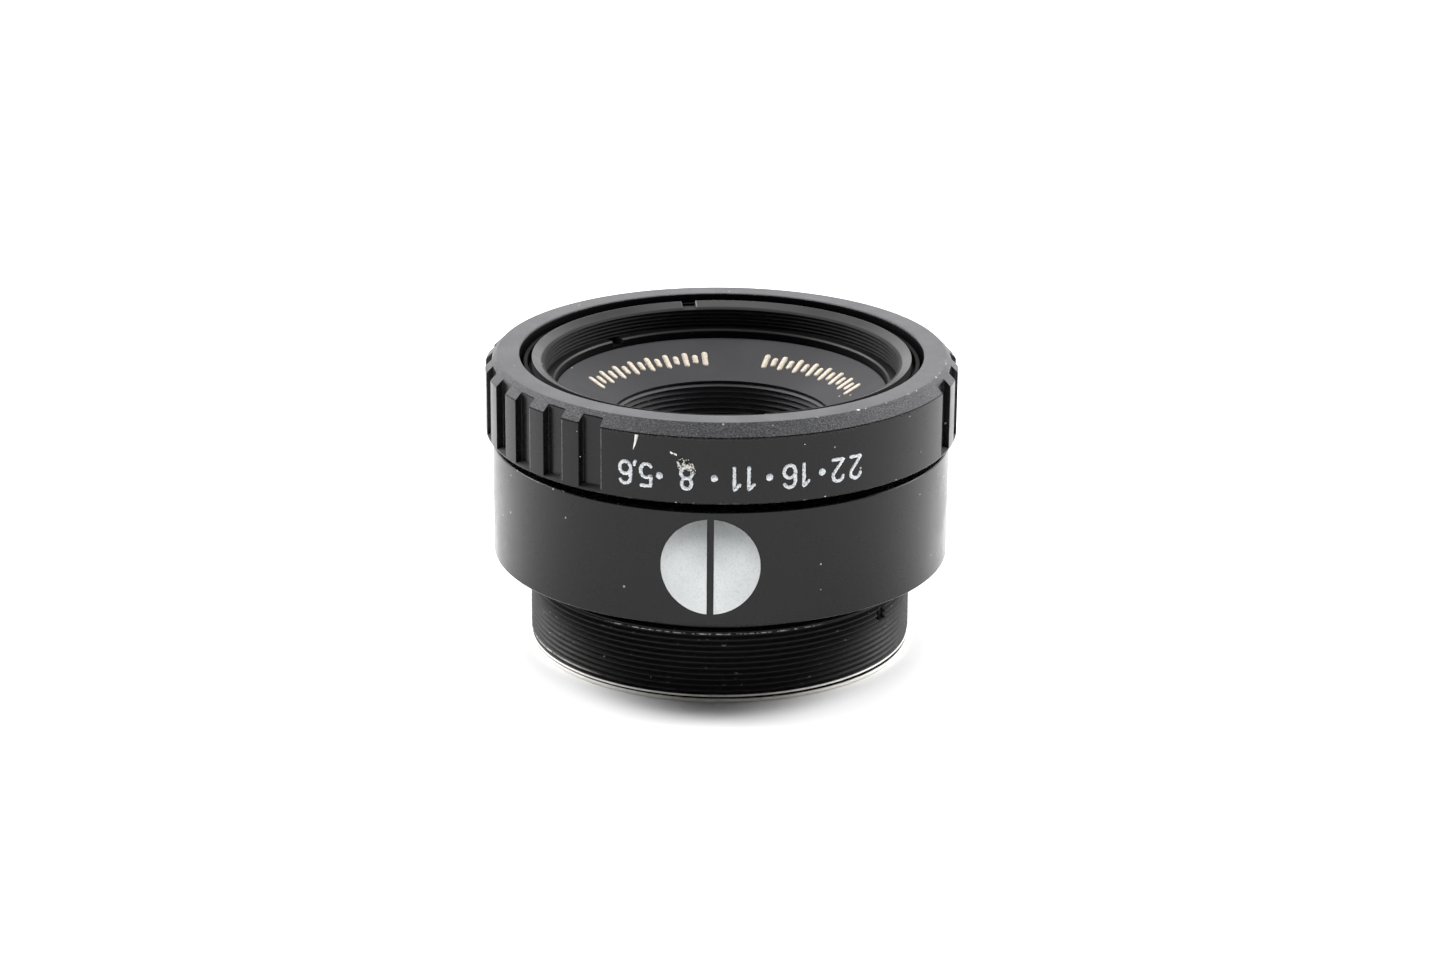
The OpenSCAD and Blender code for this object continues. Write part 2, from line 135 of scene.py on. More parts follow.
def new_object(name, bm, material, body):
    """The finished bmesh, in mm, as a smooth piece in metres that rides on a body."""
    bmesh.ops.recalc_face_normals(bm, faces=bm.faces)
    for f in bm.faces:
        f.smooth = True
    bmesh.ops.scale(bm, vec=(MM, MM, MM), verts=bm.verts)
    me = bpy.data.meshes.new(name)
    bm.to_mesh(me)
    bm.free()
    me.materials.append(material)
    obj = bpy.data.objects.new(name, me)
    bpy.context.scene.collection.objects.link(obj)
    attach(obj, body)
    return obj


def columns_of_verts(bm, columns, angles):
    """The vertices of an outline of (r, z) points for each angle round Z."""
    grid = []
    for pts, a in zip(columns, angles):
        s, c = math.sin(math.radians(a)), math.cos(math.radians(a))
        grid.append([bm.verts.new((r * s, -r * c, z)) for r, z in pts])
    return grid


def walls(bm, pairs):
    """Faces between the closed outlines of each pair of columns."""
    for p, q in pairs:
        m = len(p)
        for j in range(m):
            k = (j + 1) % m
            bm.faces.new((p[j], q[j], q[k], p[k]))


def spin(columns, angles):
    """A bmesh from one closed outline of (r, z) points for each angle round Z."""
    bm = bmesh.new()
    grid = columns_of_verts(bm, columns, angles)
    walls(bm, zip(grid, grid[1:] + grid[:1]))
    return bm


def even(n):
    return [360 * i / n for i in range(n)]


def signed(a):
    """The same angle from -180 up to 180."""
    return (a + 180) % 360 - 180


def with_notches(n, notches):
    """Angles round a circle, and for each one whether it is in a notch (centre, half width)."""
    marks = {}
    for a in even(n):
        marks[round(signed(a), 5)] = False
    for centre, half in notches:
        for a in list(marks):
            if abs(signed(a - centre)) < half + 0.03:
                del marks[a]
        for d, inside in ((-half - 0.02, False), (-half, True), (-half / 2, True), (0, True),
                          (half / 2, True), (half, True), (half + 0.02, False)):
            marks[round(signed(centre + d), 5)] = inside
    angles = sorted(marks)
    return angles, [marks[a] for a in angles]


def notched(profile, n, notches, floor_z):
    """Columns of a turned outline that is cut down to floor_z in its notches."""
    angles, inside = with_notches(n, notches)
    low = [(r, min(z, floor_z - 0.0004 * i)) for i, (r, z) in enumerate(profile)]
    return spin([low if k else profile for k in inside], angles)


def carve(bm, tool):
    """The first bmesh with the second one's solid cut out of it; both are used up."""
    objs = []
    for part in (bm, tool):
        bmesh.ops.recalc_face_normals(part, faces=part.faces)
        me = bpy.data.meshes.new("carve")
        part.to_mesh(me)
        part.free()
        objs.append(bpy.data.objects.new("carve", me))
        bpy.context.scene.collection.objects.link(objs[-1])
    mod = objs[0].modifiers.new("cut", "BOOLEAN")
    mod.operation = "DIFFERENCE"
    mod.solver = "MANIFOLD"
    mod.object = objs[1]
    bpy.context.view_layer.update()
    done = objs[0].evaluated_get(bpy.context.evaluated_depsgraph_get()).to_mesh()
    out = bmesh.new()
    out.from_mesh(done)
    for obj in objs:
        bpy.data.objects.remove(obj)
    return out


def add_to(joined, bm):
    """Adds one bmesh to another, and frees it."""
    me = bpy.data.meshes.new("part")
    bm.to_mesh(me)
    joined.from_mesh(me)
    bm.free()
    bpy.data.meshes.remove(me)


# ---------------------------------------------------------------- materials
def material(name):
    m = bpy.data.materials.new(name)
    m.use_nodes = True
    nt = m.node_tree
    nt.nodes.clear()
    out = nt.nodes.new("ShaderNodeOutputMaterial")
    bsdf = nt.nodes.new("ShaderNodeBsdfPrincipled")
    nt.links.new(bsdf.outputs[0], out.inputs["Surface"])
    return m, nt, bsdf


class Nodes:
    """Short names for the shader nodes that the materials use."""

    def __init__(self, nt):
        self.nt = nt
        self.object = nt.nodes.new("ShaderNodeTexCoord").outputs["Object"]

    def math(self, op, a, b=None, c=None, clamp=False):
        n = self.nt.nodes.new("ShaderNodeMath")
        n.operation = op
        n.use_clamp = clamp
        for i, v in enumerate((a, b, c)):
            self.put(n.inputs[i], v)
        return n.outputs[0]

    def put(self, socket, v):
        if v is None:
            return
        if isinstance(v, (int, float, tuple)):
            socket.default_value = v
        else:
            self.nt.links.new(v, socket)

    def split(self, v):
        n = self.nt.nodes.new("ShaderNodeSeparateXYZ")
        self.nt.links.new(v, n.inputs[0])
        return n.outputs

    def join(self, x, y, z):
        n = self.nt.nodes.new("ShaderNodeCombineXYZ")
        for i, v in enumerate((x, y, z)):
            self.put(n.inputs[i], v)
        return n.outputs[0]

    def noise(self, vector, scale, detail=2.0, rough=0.5):
        n = self.nt.nodes.new("ShaderNodeTexNoise")
        n.inputs["Scale"].default_value = scale
        n.inputs["Detail"].default_value = detail
        n.inputs["Roughness"].default_value = rough
        self.nt.links.new(vector, n.inputs["Vector"])
        return n.outputs["Fac"]

    def cells(self, vector, scale):
        n = self.nt.nodes.new("ShaderNodeTexVoronoi")
        n.inputs["Scale"].default_value = scale
        self.nt.links.new(vector, n.inputs["Vector"])
        return n.outputs["Distance"], n.outputs["Color"]

    def step(self, v, low, high, to_low=0.0, to_high=1.0):
        n = self.nt.nodes.new("ShaderNodeMapRange")
        n.interpolation_type = "SMOOTHSTEP"
        self.put(n.inputs["Value"], v)
        n.inputs["From Min"].default_value = low
        n.inputs["From Max"].default_value = high
        n.inputs["To Min"].default_value = to_low
        n.inputs["To Max"].default_value = to_high
        return n.outputs["Result"]

    def mix(self, fac, a, b):
        n = self.nt.nodes.new("ShaderNodeMix")
        n.data_type = "RGBA"
        self.put(n.inputs["Factor"], fac)
        for s in n.inputs:
            if s.type == "RGBA":
                self.put(s, a if s.name == "A" else b)
        return [o for o in n.outputs if o.type == "RGBA"][0]

    def bump(self, height, strength, distance, normal=None):
        n = self.nt.nodes.new("ShaderNodeBump")
        n.inputs["Strength"].default_value = strength
        n.inputs["Distance"].default_value = distance
        self.nt.links.new(height, n.inputs["Height"])
        if normal is not None:
            self.nt.links.new(normal, n.inputs["Normal"])
        return n.outputs[0]

    def radius(self):
        x, y, _ = self.split(self.object)
        return self.math("SQRT", self.math("ADD", self.math("MULTIPLY", x, x),
                                           self.math("MULTIPLY", y, y)))

    def height(self):
        return self.split(self.object)[2]

    def slope(self):
        """How far the surface faces up, from -1 to 1; it doesn't change as a part turns about Z."""
        g = self.nt.nodes.new("ShaderNodeTexCoord").outputs["Normal"]
        return self.split(g)[2]


def rgb(r, g, b):
    return (r, g, b, 1.0)


def anodised(name, base, rough, up_tone_painted_light=None, grain=0.0, turning=0.5, dust=0.0, ior=1.30,
             deep=None, worn=None):
    """Black anodised aluminium: turning marks, blasted grain where it faces up, and faint dust.

    up_tone_painted_light is the colour of the surfaces that look up, painted lighter or darker than
    the sides to stand in for how light falls on them. deep is (height, roughness) for a rougher
    finish below a height, and worn(nodes) gives a mask of bare metal.
    """
    m, nt, b = material(name)
    k = Nodes(nt)
    b.inputs["IOR"].default_value = ior
    r, z = k.radius(), k.height()
    x, y, _ = k.split(k.object)
    # turning marks are rings: they change with radius and height, and hardly with angle
    rings = k.join(k.math("MULTIPLY", r, 14000.0), k.math("MULTIPLY", z, 14000.0),
                   k.math("MULTIPLY", x, 90.0))
    marks = k.noise(rings, 1.0, 2.0, 0.6)
    cloud = k.noise(k.object, 260.0, 4.0, 0.6)
    fine = k.noise(k.object, 7500.0, 2.0, 0.75)
    slope = k.slope()
    ragged = k.math("ADD", slope, k.math("MULTIPLY", k.math("SUBTRACT", fine, 0.5), 0.25))
    up = k.step(ragged, 0.54, 0.66)
    normal = k.bump(marks, 0.25 * turning, 0.000012)
    if grain:
        blasted = k.math("MULTIPLY", up, k.step(slope, 0.80, 0.97, 1.0, 0.25))
        height = k.math("MULTIPLY", fine, blasted)
        normal = k.bump(height, grain, 0.00008, normal)
    nt.links.new(normal, b.inputs["Normal"])
    rough_mix = k.math("ADD", k.step(cloud, 0.3, 0.7, rough - 0.03, rough + 0.04),
                       k.math("MULTIPLY", up, 0.14 if grain else 0.0))
    if deep is not None:
        below = k.step(z, deep[0] - 0.0001, deep[0], deep[1] - rough, 0.0)
        rough_mix = k.math("ADD", rough_mix, below)
    # painted light and shade: surfaces that look up take their own tone, set by how light falls on
    # them
    tone = k.mix(up, rgb(*base), rgb(*(up_tone_painted_light or base)))
    if grain:
        speck = k.math("MULTIPLY", k.step(fine, 0.52, 0.66), blasted)
        pore = k.math("MULTIPLY", k.step(fine, 0.36, 0.48, 1.0, 0.0), blasted)
        tone = k.mix(k.math("MULTIPLY", speck, 0.8), tone, rgb(0.105, 0.105, 0.114))
        tone = k.mix(k.math("MULTIPLY", pore, 0.75), tone, rgb(0.006, 0.006, 0.0066))
    if dust:
        d, colour = k.cells(k.object, 1000.0)
        red, green, _ = k.split(colour)
        pick = k.step(red, 1.0 - dust, 1.0 - dust + 0.01)
        edge = k.math("SUBTRACT", d, k.math("MULTIPLY", green, 0.07))
        dot = k.math("MULTIPLY", k.step(edge, 0.02, 0.05, 1.0, 0.0), pick)
        tone = k.mix(k.math("MULTIPLY", dot, 0.8), tone, rgb(0.42, 0.41, 0.38))
    if worn is not None:
        mask = worn(k)
        tone = k.mix(mask, tone, rgb(0.96, 0.94, 0.90))
        nt.links.new(k.math("MULTIPLY", mask, 0.45), b.inputs["Metallic"])
        rough_mix = k.math("ADD", rough_mix, k.math("MULTIPLY", mask, 0.22))
    nt.links.new(rough_mix, b.inputs["Roughness"])
    nt.links.new(tone, b.inputs["Base Color"])
    return m


def metal(name, base, rough, streak=0.5):
    m, nt, b = material(name)
    k = Nodes(nt)
    b.inputs["Metallic"].default_value = 1.0
    cloud = k.noise(k.object, 700.0, 4.0, 0.6)
    fine = k.noise(k.object, 12000.0, 2.0, 0.6)
    nt.links.new(k.mix(cloud, rgb(*[c * 0.75 for c in base]), rgb(*base)),
                 b.inputs["Base Color"])
    nt.links.new(k.step(cloud, 0.3, 0.7, rough - 0.05, rough + 0.08), b.inputs["Roughness"])
    nt.links.new(k.bump(fine, 0.2 * streak, 0.00001), b.inputs["Normal"])
    return m


def paint(name, light, dark, rough, grain=9000.0):
    """Printed or filled-in paint with a speckled surface."""
    m, nt, b = material(name)
    k = Nodes(nt)
    fine = k.noise(k.object, grain, 3.0, 0.7)
    cloud = k.noise(k.object, 900.0, 3.0, 0.6)
    tone = k.mix(k.step(fine, 0.34, 0.52), rgb(*dark), rgb(*light))
    tone = k.mix(k.math("MULTIPLY", k.step(cloud, 0.55, 0.8), 0.35), tone,
                 rgb(*[c * 0.72 for c in light]))
    nt.links.new(tone, b.inputs["Base Color"])
    nt.links.new(k.step(fine, 0.3, 0.7, rough - 0.08, rough + 0.08), b.inputs["Roughness"])
    nt.links.new(k.bump(fine, 0.35, 0.00002), b.inputs["Normal"])
    return m


def glass(name, tint):
    m, nt, b = material(name)
    k = Nodes(nt)
    b.inputs["Transmission Weight"].default_value = 1.0
    b.inputs["IOR"].default_value = 1.6
    b.inputs["Base Color"].default_value = rgb(0.97, 0.985, 0.98)
    b.inputs["Specular Tint"].default_value = rgb(*tint)
    smear = k.noise(k.object, 240.0, 4.0, 0.6)
    nt.links.new(k.step(smear, 0.55, 0.85, 0.0, 0.03), b.inputs["Roughness"])
    return m


def band(k, v, centre, half, soft):
    """1 where v is within half of centre, falling to 0 over soft."""
    off = k.math("ABSOLUTE", k.math("SUBTRACT", v, centre))
    return k.step(off, half, half + soft, 1.0, 0.0)


def thread_wear(k):
    """Bare metal on the rim and the first crest, worn spots on others and on the top edge."""
    r, z = k.radius(), k.height()
    x, y, _ = k.split(k.object)
    turn = k.math("DIVIDE", k.math("ARCTAN2", x, k.math("MULTIPLY", y, -1.0)), 2 * math.pi)
    # height measured along the helix, so that a crest keeps one value all the way round
    h = k.math("SUBTRACT", z, k.math("MULTIPLY", turn, THREAD_PITCH * MM))
    crest = k.step(r, 0.016165, 0.016215)
    rim = k.math("MULTIPLY", k.step(z, 0.00030, 0.00034, 1.0, 0.0), k.step(r, 0.0160, 0.0161))
    coarse = k.noise(k.object, 700.0, 3.0, 0.6)
    spots = k.noise(k.object, 2400.0, 3.0, 0.7)
    first = k.math("MULTIPLY", band(k, h, 0.00057, 0.00009, 0.00006), crest)
    first = k.math("MULTIPLY", first, k.step(y, 0.004, 0.012, 1.0, 0.0))
    left = k.math("MULTIPLY", k.step(x, -0.0135, -0.0075, 0.75, 0.0), k.step(coarse, 0.35, 0.6))
    second = k.math("MULTIPLY", band(k, h, 0.00107, 0.00004, 0.00006), left)
    near = k.math("MULTIPLY", k.step(y, -0.0145, -0.0132, 1.0, 0.0), k.step(spots, 0.46, 0.56))
    top = k.math("MULTIPLY", band(k, h, 0.00607, 0.00002, 0.00005), near)
    few = k.math("MULTIPLY", k.step(coarse, 0.58, 0.66), k.step(spots, 0.54, 0.62))
    others = k.math("MULTIPLY", band(k, z, 0.0036, 0.0024, 0.0002), k.math("MULTIPLY", crest, few))
    edge = k.math("MULTIPLY", k.step(z, 0.01776, 0.01782), k.step(r, 0.0192, 0.0193))
    edge = k.math("MULTIPLY", edge, k.math("MULTIPLY", k.step(spots, 0.60, 0.68),
                                           k.step(x, -0.010, -0.004, 1.0, 0.10)))
    mask = k.math("MAXIMUM", first, rim)
    for more, amount in ((second, 0.7), (top, 0.42), (others, 0.12), (edge, 0.45)):
        mask = k.math("MAXIMUM", mask, k.math("MULTIPLY", more, amount))
    return mask


def ring_wear(k):
    """Rubbed edges: the ring's lower edge, and the top of the chamfer on one side."""
    r, z = k.radius(), k.height()
    x, y, _ = k.split(k.object)
    spots = k.noise(k.object, 2100.0, 3.0, 0.7)
    low = k.math("MULTIPLY", k.step(z, 0.01882, 0.01887, 1.0, 0.0), k.step(r, 0.01980, 0.01986))
    low = k.math("MULTIPLY", low, k.step(spots, 0.55, 0.75, 0.0, 0.14))
    high = k.math("MULTIPLY", band(k, r, 0.0190, 0.00005, 0.00005), k.step(z, 0.02526, 0.02530))
    high = k.math("MULTIPLY", high, k.math("MULTIPLY", k.step(spots, 0.60, 0.68),
                                           k.step(x, 0.004, 0.010)))
    return k.math("MAXIMUM", low, k.math("MULTIPLY", high, 0.8))


MAT = {
    # ring: tops painted lighter than the sides, partly its blasted top finish and partly painted
    # light from above and in front
    "ring": anodised("black_anodised_ring", (0.0050, 0.0050, 0.0053), 0.26,
                     up_tone_painted_light=(0.040, 0.040, 0.044), grain=0.95, dust=0.14, worn=ring_wear),
    "barrel": anodised("black_anodised_barrel", (0.0054, 0.0055, 0.0056), 0.26,
                       dust=0.14, turning=0.9, deep=(0.0064, 0.52), worn=thread_wear),
    # tube: walls painted lighter than its tops, a painted light that lifts the shade on its inner
    # walls and in the gap round it
    "tube": anodised("black_anodised_tube", (0.0400, 0.0400, 0.0405), 0.34,
                     up_tone_painted_light=(0.017, 0.017, 0.018), deep=(0.0247, 0.85), dust=0.1),
    "nut": anodised("black_anodised_nut", (0.003, 0.003, 0.003), 0.60,
                    up_tone_painted_light=(0.004, 0.0038, 0.0036), dust=0.4, ior=1.12),
    "matte": anodised("matte_black", (0.0230, 0.0222, 0.0250), 0.46, dust=0.1, ior=1.28),
    "lock": anodised("matte_black_lock_ring", (0.0040, 0.0040, 0.0041), 0.42, ior=1.26),
    "cell": anodised("matte_black_cell", (0.085, 0.085, 0.086), 0.66, turning=0.8),
    "inside": anodised("matte_black_inside", (0.012, 0.012, 0.0125), 0.55),
    "pit": anodised("matte_black_pit", (0.0015, 0.0015, 0.0015), 0.8),
    "blade": metal("blade_steel", (0.17, 0.17, 0.18), 0.42),
    "steel": metal("steel", (0.55, 0.55, 0.56), 0.28),
    "brass": metal("brass", (0.66, 0.46, 0.20), 0.34),
    "white": paint("white_paint", (0.68, 0.71, 0.735), (0.16, 0.175, 0.19), 0.55, grain=8000.0),
    "disc": paint("index_paint", (0.615, 0.64, 0.64), (0.53, 0.545, 0.55), 0.5, grain=6000.0),
    "cream": paint("cream_paint", (0.62, 0.545, 0.45), (0.40, 0.325, 0.25), 0.6, grain=5000.0),
    "chip": paint("bare_chip", (0.86, 0.84, 0.80), (0.62, 0.58, 0.52), 0.4),
    # a painted highlight for the light lines down the flute edges
    "flute_edge_highlight": paint("painted_flute_edge_highlight", (0.15, 0.15, 0.152), (0.03, 0.03, 0.031), 0.5,
                    grain=5000.0),
    "scuff": paint("scuff", (0.78, 0.75, 0.68), (0.26, 0.23, 0.19), 0.6, grain=7000.0),
    # dark flakes of grime, and the painted shade line under the ring's chamfer
    "gouge_and_painted_shade": paint("gouge_and_painted_shade", (0.012, 0.011, 0.010), (0.002, 0.002, 0.002), 0.8),
    "front_glass": glass("coated_glass_front", (0.55, 0.50, 0.95)),
    "rear_glass": glass("coated_glass_rear", (0.95, 0.70, 0.45)),
}


# ---------------------------------------------------------------- aperture ring
FLUTES = 24
FLUTE_STEP = 360 / 32
FIRST_FLUTE = -29.8
FLUTE_DEPTH = 0.6
FLUTE_HALF = RING_R * math.sin(math.radians(3.0))


def flute_section():
    """The flute's cross-section as (angle from its centre, radius), from one side to the other."""
    w, low = FLUTE_HALF, RING_R - FLUTE_DEPTH
    side = [(w + 0.25, RING_R), (w, RING_R, 0.06), (w - 0.07, low, 0.04)]
    corners = [(-c[0],) + c[1:] for c in side] + side[::-1]
    pts = soften(corners, steps=7, closed=False)
    # more points across the floor and the walls, so that shading stays even
    dense = pts[:1]
    for (px, py), (x, y) in zip(pts, pts[1:]):
        parts = int(math.hypot(x - px, y - py) / 0.2) + 1
        for s in range(1, parts):
            f = s / parts
            dense.append((px + (x - px) * f, py + (y - py) * f))
        dense.append((x, y))
    out = []
    for x, y in dense:
        r = RING_R if y > RING_R - 1e-4 else math.hypot(x, y)
        out.append((math.degrees(math.atan2(x, y)), min(r, RING_R)))
    return out


def ring_outline(outer):
    """The ring's outline where its outer radius is the given one; the lip below it stays whole."""
    cut = RING_R - outer
    return soften([
        (SKIRT_IN, SKIRT_Z), (SKIRT_OUT, SKIRT_Z), (SKIRT_OUT, BAND_LOW),
        (RING_R - 0.12, BAND_LOW, 0.03), (RING_R, BAND_LOW + 0.12, 0.03),
        (RING_R, LIP_Z - 0.08, 0.02), (outer, LIP_Z + max(0.004, 0.2 * cut), 0.08),
        (outer, CHAMFER_Z + cut, 0.22), (RING_R - CHAMFER, RING_TOP, 0.10),
        (RING_BORE, RING_TOP, 0.22), (RING_BORE, LEDGE_Z), (SKIRT_IN, LEDGE_Z),
    ], default=0.04, steps=4)


def aperture_ring():
    section = flute_section()
    half = max(a for a, _ in section)
    # (angle, outer radius) round the ring: the flutes, the lands between them, the plain part
    rim = []
    land = FLUTE_STEP - 2 * half
    for i in range(FLUTES):
        c = FIRST_FLUTE - i * FLUTE_STEP
        rim += [(c + a, r) for a, r in section]
        if i:
            rim += [(c + half + land * s / 6, RING_R) for s in range(1, 6)]
    plain = 360 - (FLUTES - 1) * FLUTE_STEP - 2 * half
    steps = int(plain / 0.75)
    rim += [(FIRST_FLUTE + half + plain * s / steps, RING_R) for s in range(1, steps)]
    rim.sort()
    outlines = {}
    for _, r in rim:
        if round(r, 4) not in outlines:
            outlines[round(r, 4)] = ring_outline(r)
    bm = spin([outlines[round(r, 4)] for _, r in rim], [a for a, _ in rim])
    bmesh.ops.remove_doubles(bm, verts=bm.verts, dist=0.0015)
    bmesh.ops.dissolve_degenerate(bm, edges=bm.edges, dist=0.0004)
    # dimples in the skirt's edge, where the click ball rises
    dimples = bmesh.new()
    for i in range(-5, 4):
        x, y, z = polar(BALL_ORBIT, BALL_ANGLE - i * CLICK_STEP,
                        SKIRT_Z - 0.02 - BALL_R + BALL_TRAVEL)
        bmesh.ops.create_icosphere(dimples, subdivisions=4, radius=BALL_R + 0.04,
                                   matrix=Matrix.Translation((x, y, z)))
    obj = new_object("grip_ring", carve(bm, dimples), MAT["ring"], "ring")
    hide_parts("aperture_ring")


# ---------------------------------------------------------------- barrel
def barrel():
    """The barrel: a lathe form whose lower part carries a right-hand thread."""
    n = 480
    # one pitch of the thread as (height above the groove's middle, depth)
    form = [(0.0, THREAD_DEPTH), (0.04, THREAD_DEPTH), (0.075, THREAD_DEPTH * 0.88),
            (0.17, THREAD_DEPTH * 0.18), (0.20, 0.03), (0.225, 0.0), (0.25, 0.0),
            (0.275, 0.0), (0.30, 0.03), (0.33, THREAD_DEPTH * 0.18),
            (0.425, THREAD_DEPTH * 0.88), (0.46, THREAD_DEPTH)]
    first_groove, grooves = 0.32, 14
    foot = soften([(BARREL_BORE, 0.0), (THREAD_R - 0.07, 0.0), (THREAD_R, 0.07),
                   (THREAD_R - 0.02, 0.6)], default=0.015, steps=2, closed=False)[:-1]
    foot = [p for p in foot if p[1] < THREAD_LOW - 0.005]
    head = soften([(THREAD_R, 5.9), (THREAD_R, 6.28), (15.75, 6.50), (15.75, 7.40),
                   (16.35, SHOULDER), (BARREL_R - 0.09, SHOULDER, 0.03),
                   (BARREL_R, SHOULDER + 0.09, 0.03), (BARREL_R, BARREL_TOP - 0.08, 0.03),
                   (BARREL_R - 0.08, BARREL_TOP, 0.03), (POCKET_R, BARREL_TOP),
                   (POCKET_R, POCKET_Z), (BARREL_BORE, POCKET_Z), (BARREL_BORE, 0.0)],
                  default=0.03, steps=3, closed=False)[1:-1]
    head = [p for p in head if p[1] > THREAD_HIGH + 0.004 or p[0] < 15]
    columns, angles = [], []
    for i in range(n + 1):
        a = 360 * i / n - 180
        pts = [(THREAD_R, THREAD_LOW)]
        for g in range(-1, grooves):
            for dz, depth in form:
                z = first_groove + (g + a / 360) * THREAD_PITCH + dz
                fade = min(1.0, max(0.0, (z - THREAD_LOW) / 0.08))
                fade = min(fade, max(0.0, (THREAD_HIGH - z) / 0.12))
                pts.append((THREAD_R - depth * fade, min(max(z, THREAD_LOW), THREAD_HIGH)))
        pts.append((THREAD_R, THREAD_HIGH))
        columns.append(foot + pts + head)
        angles.append(a)
    bm = bmesh.new()
    grid = columns_of_verts(bm, columns, angles)
    walls(bm, zip(grid, grid[1:]))
    bmesh.ops.remove_doubles(bm, verts=bm.verts, dist=0.0008)
    bmesh.ops.dissolve_degenerate(bm, edges=bm.edges, dist=0.0004)
    # the hole of the locking screw
    hole = bmesh.new()
    outward = Vector(polar(1, GRUB_ANGLE))
    place = Matrix.Translation(outward * 15.6 + Vector((0, 0, GRUB_Z))) @ \
        outward.to_track_quat("Z", "Y").to_matrix().to_4x4()
    bmesh.ops.create_cone(hole, cap_ends=True, segments=48, radius1=GRUB_R, radius2=GRUB_R,
                          depth=3.0, matrix=place)
    obj = new_object("barrel_shell", carve(bm, hole), MAT["barrel"], "barrel")
    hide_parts("main_barrel")


# ---------------------------------------------------------------- turned parts
def turned(name, corners, mat, node, n=300, notches=None, floor_z=0.0):
    """A turned piece on the barrel's body, with notches cut down to floor_z if it has any."""
    profile = soften(corners)
    if notches:
        bm = notched(profile, n, notches, floor_z)
    else:
        bm = spin([profile] * n, even(n))
    obj = new_object(name, bm, mat, "barrel")
    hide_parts(node)


def opposite(angle, width, r):
    """Two notches across a ring, as (centre, half width) in degrees; width is at radius r."""
    half = math.degrees(math.asin(width / 2 / r))
    return [(angle, half), (angle + 180 if angle < 0 else angle - 180, half)]


def groove_corners(top, count, crest_r, root_r, pitch=0.5):
    """An internal thread's corners from the top down; the first groove's centre is at top."""
    out = []
    for i in range(count):
        z = top - i * pitch
        out += [(crest_r, z + 0.38 * pitch, 0.02), (root_r, z + 0.08 * pitch, 0.015),
                (root_r, z - 0.08 * pitch, 0.015), (crest_r, z - 0.38 * pitch, 0.02)]
    return out


def front_tube():
    turned("front_tube", [
        (8.92, 7.8), (14.58, 7.8), (14.58, POCKET_Z), (TUBE_R, POCKET_Z), (TUBE_R, TUBE_TOP, 0.05),
        (15.17, TUBE_TOP - 0.44, 0.05),
    ] + groove_corners(24.35, 5, 14.98, 15.10, 0.33) + [
        (15.10, 22.85), (FILTER_R, 22.8), (FILTER_R, 17.15), (13.9, 17.15), (13.9, 8.55),
        (8.92, 8.55),
    ], MAT["tube"], "lens_tube", n=360,
        notches=opposite(-166.9, 1.2, 15.6), floor_z=TUBE_TOP - 0.5)


DISH_IN, DISH_OUT = (9.39, 19.68), (14.03, 22.18)    # ends of the name ring's dished face


def name_ring():
    turned("front_name_ring", [
        (*DISH_IN, 0.02), (*DISH_OUT, 0.05), (14.03, 21.9), (14.23, 21.9), (14.23, 22.08),
        (15.2, 22.08), (15.2, 18.2), (14.6, 18.2), (14.6, 21.5), (9.9, 19.45), (9.39, 19.45),
    ], MAT["matte"], "name_ring", n=360)


def front_retainer():
    turned("front_lock_ring", [
        (14.1, 22.1), (15.23, 22.1), (15.23, 22.9, 0.04), (14.24, 22.9, 0.04),
        (14.1, 22.76, 0.04),
    ], MAT["lock"], "front_retainer", n=360,
        notches=opposite(-137.2, 1.0, 14.7), floor_z=22.4)


# the bore that both cells share, from the lens ring's seat down to the iris
CELL_BORE = [(9.2, 15.95), (8.82, 15.95), (8.82, 13.34), (8.02, 13.34), (8.02, 11.38),
             (7.4, 11.38), (7.4, 11.05)]


def front_cell():
    ribs = []
    for i in range(5, -1, -1):
        z = 16.62 + (i + 0.3) * 0.49
        ribs += [(9.2, z, 0.02), (9.4, z - 0.1, 0.02)]
    turned("front_cell_body", [
        (8.9, 11.05), (8.9, 11.42), (10.6, 11.42), (10.6, 17.25), (15.2, 17.25), (15.2, 18.2),
        (10.2, 18.2), (10.2, 19.40), (9.4, 19.40),
    ] + ribs + CELL_BORE, MAT["cell"], "front_cell")


def mirror_z(corners):
    """The same outline on the other side of the iris plane."""
    return [(c[0], 2 * STOP_Z - c[1]) + tuple(c[2:]) for c in corners][::-1]


def rear_cell():
    turned("rear_cell_body", mirror_z([
        (8.9, 11.05), (8.9, 11.12), (10.2, 11.12), (10.2, 12.9), (14.5, 12.9, 0.06),
        (14.5, 15.3, 0.08), (10.2, 15.3), (10.2, 17.5, 0.08), (10.0, 17.7, 0.06), (9.4, 17.7),
        (9.2, 17.4),
    ] + CELL_BORE), MAT["inside"], "rear_cell")


def lens_rings():
    high = [(8.3, 16.1), (9.18, 16.1), (9.18, 16.7), (8.3, 16.7)]
    notches = opposite(30, 1.0, 8.7)
    turned("front_glass_lock_ring", high, MAT["tube"], "front_lens_ring",
           n=240, notches=notches, floor_z=16.4)
    # the rear one's notches are cut from below
    low = soften(mirror_z(high))
    angles, inside = with_notches(240, notches)
    cut = [(r, max(z, 2.5 + 0.0004 * i)) for i, (r, z) in enumerate(low)]
    obj = new_object("rear_glass_lock_ring", spin([cut if k else low for k in inside], angles),
                     MAT["tube"], "barrel")
    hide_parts("rear_lens_ring")


def ring_nut():
    notches = opposite(45, 1.2, 16.5) + opposite(135, 1.2, 16.5)
    turned("ring_nut_turned", [(16.07, 20.62), (16.75, 20.62), (16.75, 24.66, 0.06),
                               (16.40, 24.66, 0.06), (16.34, 23.8, 0.04), (16.07, 23.8)],
           MAT["nut"], "ring_nut", notches=notches, floor_z=24.16)


